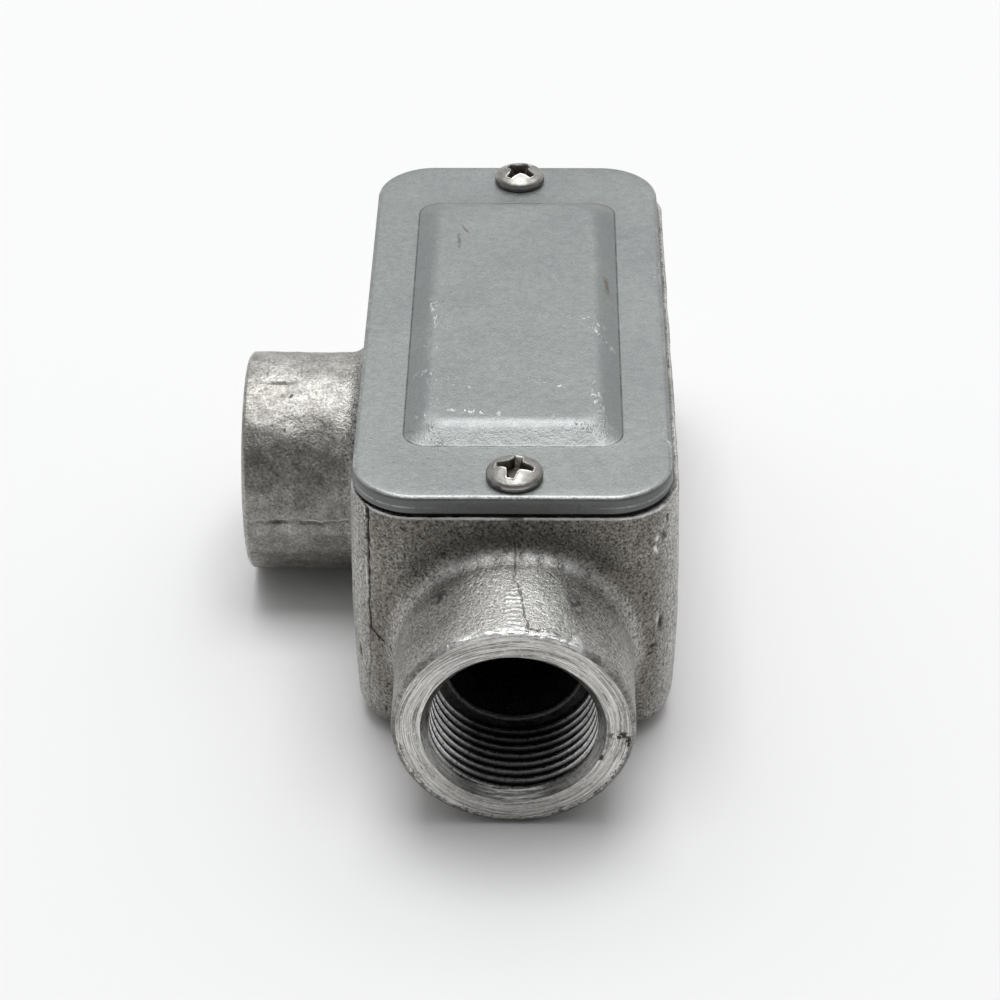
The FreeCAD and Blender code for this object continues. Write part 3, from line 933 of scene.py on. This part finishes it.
class Nodes:
    """A short way to write the nodes of a material or the world."""

    def __init__(self, owner, space="Object"):
        owner.use_nodes = True
        self.owner, self.tree = owner, owner.node_tree
        self.place = self.tree.nodes.new("ShaderNodeTexCoord").outputs[space]
        self.x, self.y, self.z = self.add("SeparateXYZ", {"Vector": self.place}).outputs

    def put(self, socket, value):
        if hasattr(value, "links"):
            self.tree.links.new(value, socket)
        else:
            socket.default_value = value

    def add(self, kind, inputs=(), **settings):
        node = self.tree.nodes.new("ShaderNode" + kind)
        for name, value in settings.items():
            setattr(node, name, value)
        for name, value in dict(inputs).items():
            self.put(node.inputs[name], value)
        return node

    def noise(self, scale, detail=4.0, roughness=0.6, vector=None, distortion=0.0):
        """Noise with features of about 1/scale metres."""
        inputs = {"Vector": vector or self.place, "Scale": scale, "Detail": detail}
        inputs |= {"Roughness": roughness, "Distortion": distortion}
        return self.add("TexNoise", inputs).outputs["Fac"]

    def ramp(self, value, *stops):
        node = self.add("ValToRGB", {"Fac": value})
        elements = node.color_ramp.elements
        while len(elements) < len(stops):
            elements.new(0.5)
        for element, (position, colour) in zip(elements, stops):
            element.position = position
            element.color = (*colour, 1) if hasattr(colour, "__len__") else (colour, colour, colour, 1)
        return node.outputs["Color"]

    def coat(self, share, colour, blend="MIX"):
        """Lays a colour over the base colour."""
        node = self.add("Mix", data_type="RGBA", blend_type=blend)
        colour = (*colour, 1) if isinstance(colour, tuple) else colour
        for name, value in (("Factor", share), ("A", self.base), ("B", colour)):
            self.put(next(s for s in node.inputs if s.name == name and s.enabled), value)
        self.base = next(s for s in node.outputs if s.enabled)

    def math(self, operation, a, b=0.0, clamp=False):
        node = self.add("Math", operation=operation, use_clamp=clamp)
        self.put(node.inputs[0], a)
        self.put(node.inputs[1], b)
        return node.outputs[0]

    plus = partialmethod(math, "ADD")
    minus = partialmethod(math, "SUBTRACT")
    times = partialmethod(math, "MULTIPLY")
    over = partialmethod(math, "DIVIDE")
    larger = partialmethod(math, "MAXIMUM")
    below = partialmethod(math, "LESS_THAN")
    above = partialmethod(math, "GREATER_THAN")
    size = partialmethod(math, "ABSOLUTE")

    def vector(self, operation, a, b=(0, 0, 0)):
        return self.add("VectorMath", {0: a, 1: b}, operation=operation).outputs

    def turned(self, rotation, scale):
        """The place in the object, turned and scaled, for drawn-out noise."""
        inputs = {"Vector": self.place, "Rotation": rotation, "Scale": scale}
        return self.add("Mapping", inputs).outputs[0]

    def painted(self, name, share=None):
        """A shade painted on the mesh, or a share of it."""
        shade = self.add("Attribute", attribute_name=name).outputs["Fac"]
        return shade if share is None else self.times(shade, share, True)

    def bump(self, height, distance, normal=None):
        inputs = {"Height": height, "Distance": distance}
        if normal:
            inputs["Normal"] = normal
        return self.add("Bump", inputs).outputs["Normal"]

    def finish(self, roughness, normal=None, metallic=1.0, **others):
        """Sets the shader's inputs and gives the material."""
        shader = self.tree.nodes["Principled BSDF"]
        inputs = {"Metallic": metallic, "Base Color": self.base, "Roughness": roughness, **others}
        if normal:
            inputs["Normal"] = normal
        for name, value in inputs.items():
            self.put(shader.inputs[name], value)
        return self.owner


def cast_material():
    """Rough grey cast skin with grain, pores, old dirt, painted shade and painted highlights, smoother and
    blotchy on the side hub.
    """
    n = Nodes(bpy.data.materials.new("cast_aluminium"))
    grain = n.noise(2300, 3, 0.75)
    greys = (0.3, (0.265, 0.257, 0.238)), (0.5, (0.36, 0.353, 0.332)), (0.72, (0.45, 0.445, 0.425))
    n.base = n.ramp(n.noise(90, 5, 0.65), *greys)
    # Painted shade with dirt, darkest over the end wall and under the rim
    n.coat(n.painted("grime_and_shade", 0.8), (0.138, 0.125, 0.107))
    beyond = n.minus(-SIDE_HUB_START * MM, n.x)
    smooth = n.times(n.over(beyond, HUB_START_BLEND * MM, True), 0.45)
    rough = n.minus(1.0, smooth)
    n.coat(rough, n.ramp(grain, (0.3, 0.0), (0.5, 0.5), (0.69, 1.0)), "OVERLAY")
    blotches = n.ramp(n.noise(330, 4, 0.6, distortion=0.8), (0.33, 0.2), (0.5, 0.5), (0.67, 0.85))
    n.coat(n.times(smooth, 0.95), blotches, "OVERLAY")
    flecks = n.ramp(n.noise(1100, 4, 0.75, distortion=0.4), (0.6, 0.0), (0.7, 0.6))
    n.coat(flecks, (0.62, 0.61, 0.59))
    pores = n.ramp(n.noise(700, 5, 0.8), (0.3, 0.75), (0.41, 0.0))
    n.coat(pores, (0.075, 0.07, 0.063))
    nicks = n.ramp(n.noise(520, 2, 0.5, n.turned((0, 0.6, 0), (1, 1, 0.4))), (0.26, 0.9), (0.3, 0.0))
    n.coat(nicks, (0.035, 0.03, 0.027))
    # Dark marks: cracks, pits and nicks, with painted shade in the hollow, on the wall above the end hub and
    # on the rim's top under the gasket
    n.coat(n.painted("dark", 0.92), (0.03, 0.028, 0.026))
    # Worn metal, with painted highlights on the end hub's top and on the band where it meets the wall
    n.coat(n.painted("bare_and_highlight", 0.8), (0.86, 0.855, 0.84))
    normal = n.bump(n.times(rough, n.noise(780, 4, 0.7)), 0.00016)
    normal = n.bump(n.times(rough, grain), 0.00017, normal)
    roughness = n.ramp(n.noise(260, 4, 0.7), (0.3, 0.3), (0.7, 0.48))
    return n.finish(n.plus(roughness, n.times(smooth, 0.12)), normal)


def hub_polar(n):
    """Distance from a machined surface's hub axis, length round it, and place across it, in metres."""
    on_side = n.below(n.x, (HUB_BREAK - SIDE_FACE + 0.2) * MM)
    beside_end = n.times(n.x, n.minus(1.0, on_side))
    beside_side = n.times(n.minus(n.y, SIDE_HUB_Y * MM), on_side)
    across = n.plus(beside_end, beside_side)
    height = n.minus(n.z, AXIS_HEIGHT * MM)
    squares = n.plus(n.times(across, across), n.times(height, height))
    angle = n.math("ARCTAN2", across, n.times(height, -1.0))
    return n.math("SQRT", squares), n.times(angle, HUB_RADIUS * MM), across, height


def face_nick(n, place, size):
    """1 in an old nick with a ragged outline."""
    off = n.vector("SUBTRACT", n.place, [c * MM for c in place])[0]
    scaled = n.vector("MULTIPLY", off, [1 / (c * MM) for c in size])[0]
    inside = n.ramp(n.vector("LENGTH", scaled)["Value"], (0.55, 1.0), (1.0, 0.0))
    return n.times(inside, n.ramp(n.noise(900, 3, 0.7), (0.44, 0.0), (0.52, 1.0)))


def face_soil(n, radius, around, drawn_out):
    """Specks of dirt all over a hub's face, most of them low down near its outer edge."""
    on_hub = n.below(radius, (HUB_RADIUS + 0.3) * MM)
    outer = n.over(n.minus(radius, (HUB_RADIUS - 2.3) * MM), 0.0024, True)
    low = n.over(n.minus(0.05, n.size(around)), 0.03, True)
    held = n.times(n.times(outer, low), n.times(on_hub, 0.3))
    specks = n.times(n.noise(2300, 4, 0.8, drawn_out(0.7)), 0.6)
    specks = n.plus(specks, n.times(n.noise(420, 3, 0.7), 0.3))
    return n.ramp(n.plus(specks, held), (0.6, 0.0), (0.66, 0.85))


def machined_material():
    """Turned faces: fine tool marks round the axis, broken by scuffs and old dirt near the edge."""
    n = Nodes(bpy.data.materials.new("machined_aluminium"))
    radius, around, across, height = hub_polar(n)
    crossed = n.plus(radius, n.times(n.noise(60, 2, 0.5), 0.0012))

    def drawn_out(share):
        squeezed = {"Y": n.times(across, share), "Z": n.times(height, share)}
        return n.add("CombineXYZ", {"X": crossed, **squeezed}).outputs["Vector"]

    lines = n.noise(5200, 2, 0.8, drawn_out(0.02))
    scores = n.noise(3400, 3, 0.8, drawn_out(0.08))
    scuffs = n.noise(2700, 4, 0.8, drawn_out(0.5))
    n.base = n.ramp(n.noise(130, 4, 0.6), (0.3, (0.4, 0.392, 0.373)), (0.7, (0.62, 0.611, 0.59)))
    n.coat(0.8, n.ramp(lines, (0.36, 0.14), (0.5, 0.5), (0.62, 0.82)), "OVERLAY")
    n.coat(n.ramp(scores, (0.35, 0.75), (0.42, 0.0)), (0.1, 0.095, 0.086))
    n.coat(n.ramp(scuffs, (0.56, 0.0), (0.66, 0.8)), (0.84, 0.835, 0.82))
    n.coat(n.ramp(scuffs, (0.3, 0.85), (0.38, 0.0)), (0.1, 0.094, 0.085))
    n.coat(face_soil(n, radius, around, drawn_out), (0.07, 0.062, 0.052))
    for place, size in FACE_NICKS:
        n.coat(face_nick(n, place, size), (0.05, 0.045, 0.04))
    n.coat(n.painted("dark"), (0.05, 0.045, 0.04))
    normal = n.bump(scuffs, 0.00008, n.bump(lines, 0.00009))
    return n.finish(n.ramp(scuffs, (0.3, 0.42), (0.7, 0.28)), normal)


def thread_material():
    """Cut threads: crests painted bright over roots painted dark, painted highlight and painted shade with
    some wear, and a darker mouth with bright ridges low down.
    """
    n = Nodes(bpy.data.materials.new("threaded_aluminium"))
    cloud = n.noise(520, 5, 0.75)
    n.base = n.ramp(cloud, (0.32, 0.42), (0.5, 0.66), (0.68, 0.85))
    # Painted highlight on the thread's crests
    n.coat(n.painted("bare_and_highlight", 0.85), (0.95, 0.945, 0.93))
    n.coat(n.ramp(n.noise(1900, 4, 0.8), (0.38, 0.8), (0.47, 0.0)), (0.1, 0.092, 0.08))
    end_mouth = n.below(n.y, (MOUTH_ZONE - END_FACE) * MM)
    side_mouth = n.below(n.x, (MOUTH_ZONE - SIDE_FACE) * MM)
    mouth = n.larger(end_mouth, side_mouth)
    n.coat(n.times(mouth, 0.7), (0.14, 0.134, 0.122))
    ridges = n.noise(3600, 2, 0.6, n.turned((0, 0, 0), (0.05, 1.0, 0.05)))
    ridges = n.ramp(ridges, (0.5, 0.0), (0.56, 0.9))
    low = n.over(n.minus(0.006, n.size(n.x)), 0.003, True)
    shown = n.plus(n.times(low, 0.7), 0.3)
    n.coat(n.times(n.times(mouth, ridges), shown), (0.75, 0.74, 0.72))
    # Painted shade in the thread's roots, deeper in the bore and on the throat's edge
    n.coat(n.painted("dark"), (0.014, 0.012, 0.01))
    normal = n.bump(n.noise(1300, 4, 0.7), 0.00013)
    return n.finish(n.ramp(cloud, (0.3, 0.24), (0.7, 0.42)), normal)


def corner_reach(n, half, corner):
    """Distance from a rounded rectangle's core, its outline less its corner radius, in metres."""
    core_x, core_y = [float(c) for c in (half - corner) * MM]
    dx = n.larger(n.minus(n.size(n.minus(n.x, COVER_X * MM)), core_x), 0.0)
    dy = n.larger(n.minus(n.size(n.y), core_y), 0.0)
    return n.math("SQRT", n.plus(n.times(dx, dx), n.times(dy, dy)))


def cover_outline(n):
    """1 on the cover's outline and 0 further in than its worn edge."""
    reach = corner_reach(n, COVER_HALF, COVER_CORNER)
    return n.over(n.minus(reach, (COVER_CORNER - EDGE_WEAR) * MM), EDGE_WEAR * MM, True)


def panel_foot(n):
    """1 on the thin dark line where the raised panel's slope meets the flat."""
    reach = corner_reach(n, COVER_HALF - PANEL_MARGIN, PANEL_CORNER)
    off = n.size(n.minus(reach, PANEL_CORNER * MM))
    return n.minus(1.0, n.over(off, FOOT_LINE * MM), True)


def line_mark(n, start, end, width):
    """1 along a scratch between two (x, y) places in millimetres, seen from above."""
    a, b = Vector(start) * MM, Vector(end) * MM
    along = (b - a).normalized()
    x, y = n.minus(n.x, a.x), n.minus(n.y, a.y)
    run = n.plus(n.times(x, along.x), n.times(y, along.y))
    off = n.size(n.minus(n.times(x, -along.y), n.times(y, -along.x)))
    past = n.larger(n.minus(run, (b - a).length), n.times(run, -1.0))
    reach = n.larger(off, n.times(past, 0.25))
    return n.minus(1.0, n.over(reach, width * MM), True)


def cover_scratches(n):
    """1 along the cover's scuffs, worn through to the metal, broken up into slanted strokes."""
    marks = [line_mark(n, *scratch) for scratch in COVER_SCRATCHES]
    strokes = n.noise(1250, 4, 0.75, n.turned((0, 0, 0.5), (1.0, 0.45, 1.0)))
    strokes = n.ramp(strokes, (0.545, 0.0), (0.6, 1.0))
    return n.times(n.math("POWER", reduce(n.larger, marks), 0.6), strokes, True)


def cover_edge_wear_and_highlight(n):
    """How worn through the cover is along its upper edge, and a painted highlight line lower down its edge at
    the near corners.
    """
    near_side = n.over(n.minus(-0.036, n.y), 0.008, True)
    amount = n.plus(n.times(near_side, 0.16), n.noise(420, 5, 0.8))
    amount = n.plus(n.times(amount, 0.6), n.times(n.noise(2200, 3, 0.8), 0.4))
    patchy = n.ramp(amount, (0.515, 0.0), (0.59, 1.0))
    upper = n.times(n.times(cover_outline(n), n.above(n.z, (COVER_TOP - 0.3) * MM)), patchy)
    # A painted highlight: a thin bright line partway down the edge, at the near corners
    off = n.size(n.minus(n.z, (COVER_SEAT + 1.1) * MM))
    lower = n.minus(1.0, n.over(off, 0.0002), True)
    at_corner = n.over(n.minus(n.size(n.x), 0.011), 0.006, True)
    lower = n.times(n.times(lower, at_corner), n.times(patchy, near_side))
    return n.larger(n.times(upper, 0.85), n.times(lower, 0.4))


def cover_material():
    """Blue-grey plated sheet: darker edge, scuffs, stains, a duller near slope, worn edges and a painted
    highlight line low on the near edge.
    """
    n = Nodes(bpy.data.materials.new("cover_metal"))
    mottle, grain = n.noise(900, 4, 0.75), n.noise(3200, 2, 0.6)
    n.base = n.ramp(n.noise(60, 5, 0.6), (0.3, (0.245, 0.26, 0.258)), (0.7, (0.285, 0.3, 0.296)))
    n.coat(0.28, n.ramp(mottle, (0.3, 0.3), (0.7, 0.7)), "OVERLAY")
    n.coat(0.2, n.ramp(grain, (0.3, 0.25), (0.7, 0.75)), "OVERLAY")
    n.coat(n.ramp(n.noise(1100, 3, 0.8), (0.27, 0.8), (0.335, 0.0)), (0.1, 0.105, 0.1))
    side = n.over(n.minus((COVER_TOP - 0.25) * MM, n.z), 0.0003, True)
    n.coat(n.times(side, 0.72), (0.09, 0.092, 0.086))
    scratches = cover_scratches(n)
    n.coat(n.times(scratches, 0.8), (0.8, 0.81, 0.8))
    for *line, colour in COVER_STAINS:
        broken = n.ramp(n.noise(700, 4, 0.8), (0.36, 0.0), (0.48, 1.0))
        n.coat(n.times(n.times(line_mark(n, *line), broken), 0.95), colour)
    slope = n.times(n.below(n.y, NEAR_SLOPE_Y * MM), n.above(n.z, (COVER_TOP + 0.15) * MM))
    dulled = n.ramp(n.noise(500, 5, 0.75), (0.35, 0.55), (0.65, 0.0))
    n.coat(n.times(slope, dulled), (0.17, 0.175, 0.17))
    held = n.ramp(n.noise(300, 4, 0.7), (0.35, 0.5), (0.6, 1.0))
    # A thin dark line in the crease at the panel's foot
    n.coat(n.times(panel_foot(n), held, True), (0.05, 0.05, 0.046))
    # Worn upper edge and a painted highlight line lower on the near edge
    n.coat(cover_edge_wear_and_highlight(n), (0.72, 0.73, 0.72))
    normal = n.bump(scratches, 0.00008, n.bump(grain, 0.00004, n.bump(mottle, 0.00007)))
    return n.finish(n.ramp(mottle, (0.3, 0.34), (0.7, 0.46)), normal, 0.8)


def gasket_material():
    n = Nodes(bpy.data.materials.new("gasket_rubber"))
    n.base = n.ramp(n.noise(400, 4), (0.3, 0.012), (0.7, 0.03))
    roughness = n.ramp(n.noise(900, 3), (0.3, 0.6), (0.7, 0.85))
    return n.finish(roughness, n.bump(n.noise(1500), 0.00004), 0.0)


def screw_material():
    n = Nodes(bpy.data.materials.new("screw_steel"))
    cloud = n.noise(420, 5, 0.7)
    n.base = n.ramp(cloud, (0.3, (0.2, 0.19, 0.172)), (0.52, (0.33, 0.32, 0.3)), (0.75, (0.46, 0.45, 0.43)))
    n.coat(n.ramp(n.noise(1500, 3, 0.8), (0.27, 0.8), (0.34, 0.0)), (0.07, 0.06, 0.05))
    # Painted shade in the recess and on the head's side
    n.coat(n.painted("dark"), (0.085, 0.073, 0.062))
    # Burrs worn bright, and a painted highlight ring on the head's side
    n.coat(n.painted("bare_and_highlight", 0.8), (0.8, 0.79, 0.76))
    roughness = n.ramp(n.noise(700, 4), (0.3, 0.34), (0.7, 0.5))
    return n.finish(roughness, n.bump(n.noise(1400, 4, 0.7), 0.00006))


# ---------------- setting


def build_floor():
    mesh = bpy.data.meshes.new("floor")
    corners = [(-3, -3, 0), (3, -3, 0), (3, 6, 0), (-3, 6, 0)]
    mesh.from_pydata(corners, [], [(0, 1, 2, 3)])
    floor = bpy.data.objects.new("floor", mesh)
    bpy.context.scene.collection.objects.link(floor)
    n = Nodes(bpy.data.materials.new("floor_white"))
    n.base = (FLOOR_WHITE, FLOOR_WHITE, FLOOR_WHITE, 1)
    mesh.materials.append(n.finish(0.7, metallic=0.0, **{"Specular IOR Level": 0.2}))


def build_key_light():
    """One wide soft light above, aimed at the part."""
    data = bpy.data.lights.new("key", "AREA")
    data.shape = "RECTANGLE"
    data.size, data.size_y = KEY_SIZE
    data.energy = KEY_WATTS
    light = bpy.data.objects.new("key", data)
    light.location = KEY_PLACE
    light.rotation_euler = (-Vector(KEY_PLACE)).to_track_quat("-Z", "Y").to_euler()
    bpy.context.scene.collection.objects.link(light)


def build_world():
    """A studio with a dim viewer's side, a bright band low all round and more light behind and above."""
    n = Nodes(bpy.data.worlds.new("studio"), "Generated")
    bpy.context.scene.world = n.owner

    def share(value, start, end, low=0.0, high=1.0):
        inputs = {"Value": value, "From Min": start, "From Max": end, "To Min": low, "To Max": high}
        return n.add("MapRange", inputs, interpolation_type="SMOOTHSTEP").outputs[0]

    sides = share(n.y, -0.7, 0.1, STUDIO_FRONT, STUDIO_SIDES)
    horizon = share(n.z, 0.1, 0.4, STUDIO_HORIZON, 0.0)
    back = n.times(share(n.y, 0.1, 0.8), share(n.z, 0.4, 0.75, STUDIO_BACK_LOW, STUDIO_BACK_HIGH))
    top = share(n.z, 0.75, 1.0, 0.0, STUDIO_TOP)
    background = n.tree.nodes["Background"]
    n.put(background.inputs["Strength"], n.plus(n.plus(sides, horizon), n.plus(back, top)))
    background.inputs["Color"].default_value = (0.99, 0.997, 1.0, 1)


def build_camera():
    data = bpy.data.cameras.new("camera")
    data.sensor_width = 36
    data.lens = LENS
    data.clip_start = 0.01
    camera = bpy.data.objects.new("camera", data)
    pitch, yaw, roll = [math.radians(turn) for turn in (CAMERA_PITCH, CAMERA_YAW, CAMERA_ROLL)]
    level = Vector((math.cos(yaw), -math.sin(yaw), 0))
    ahead = Vector((math.sin(yaw), math.cos(yaw), 0))
    forward = ahead * math.cos(pitch) - Vector((0, 0, math.sin(pitch)))
    level_up = level.cross(forward)
    right = level * math.cos(roll) + level_up * math.sin(roll)
    up = level_up * math.cos(roll) - level * math.sin(roll)
    turn = Matrix((right, up, -forward)).transposed()
    camera.matrix_world = Matrix.Translation(Vector(CAMERA_PLACE) * MM) @ turn.to_4x4()
    bpy.context.scene.collection.objects.link(camera)
    bpy.context.scene.camera = camera


def build_scene():
    build_body([cast_material(), machined_material(), thread_material()])
    build_cover(cover_material())
    build_screws(screw_material())
    gasket = frame["nodes"]["gasket"]
    gasket.data.materials.clear()
    gasket.data.materials.append(gasket_material())
    build_floor()
    build_world()
    build_key_light()
    build_camera()
    bpy.context.scene.view_settings.view_transform = "Standard"


build_scene()
